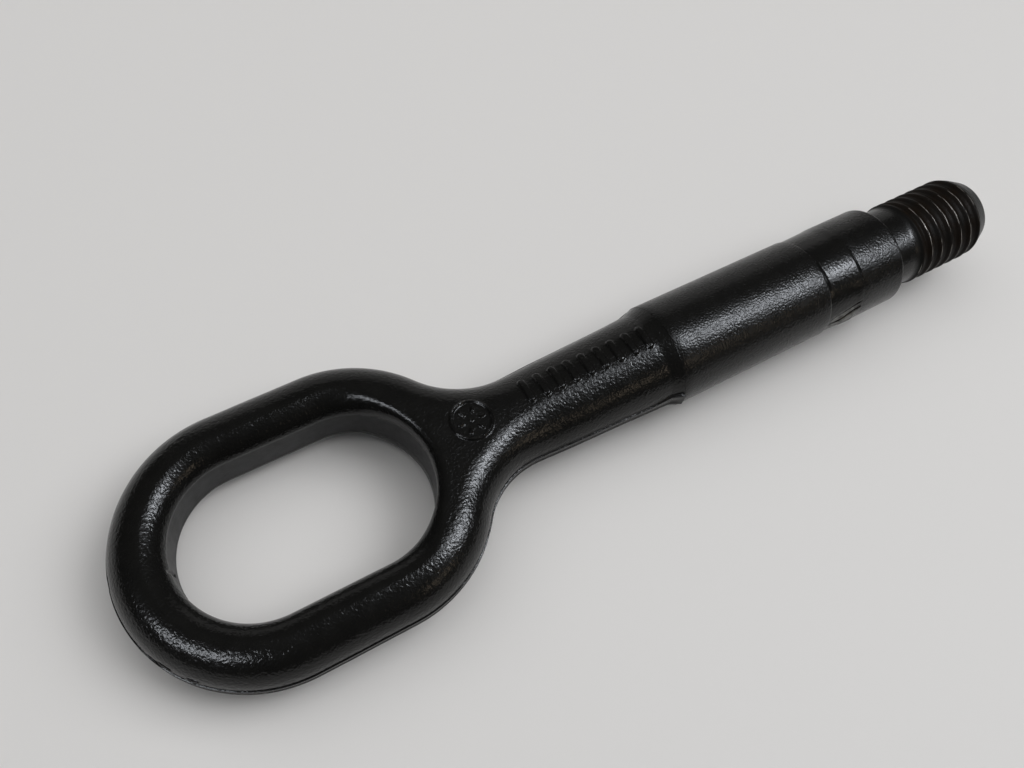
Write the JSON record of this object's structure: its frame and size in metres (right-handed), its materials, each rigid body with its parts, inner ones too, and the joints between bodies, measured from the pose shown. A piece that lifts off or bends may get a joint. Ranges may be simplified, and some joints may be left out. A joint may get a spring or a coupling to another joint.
{
  "type": "tow eye",
  "caption": "Forged steel screw-in tow eye: a long oval ring on a waisted neck and round shank, with a shoulder and a threaded stud for a vehicle's towing socket.",
  "frame": {"origin": "centre of the shoulder that seats against the towing socket, on the shank's axis", "axes": "+X along the shank towards the stud's tip, +Z square to the flat of the eye, as the part lies on a table"},
  "size_m": [0.2125, 0.0556, 0.0234],
  "materials": {
    "black_paint": "semi-gloss black paint over a forged steel skin"
  },
  "bodies": {
    "root": {"tow_eye": "black_paint"}
  },
  "joints": []
}
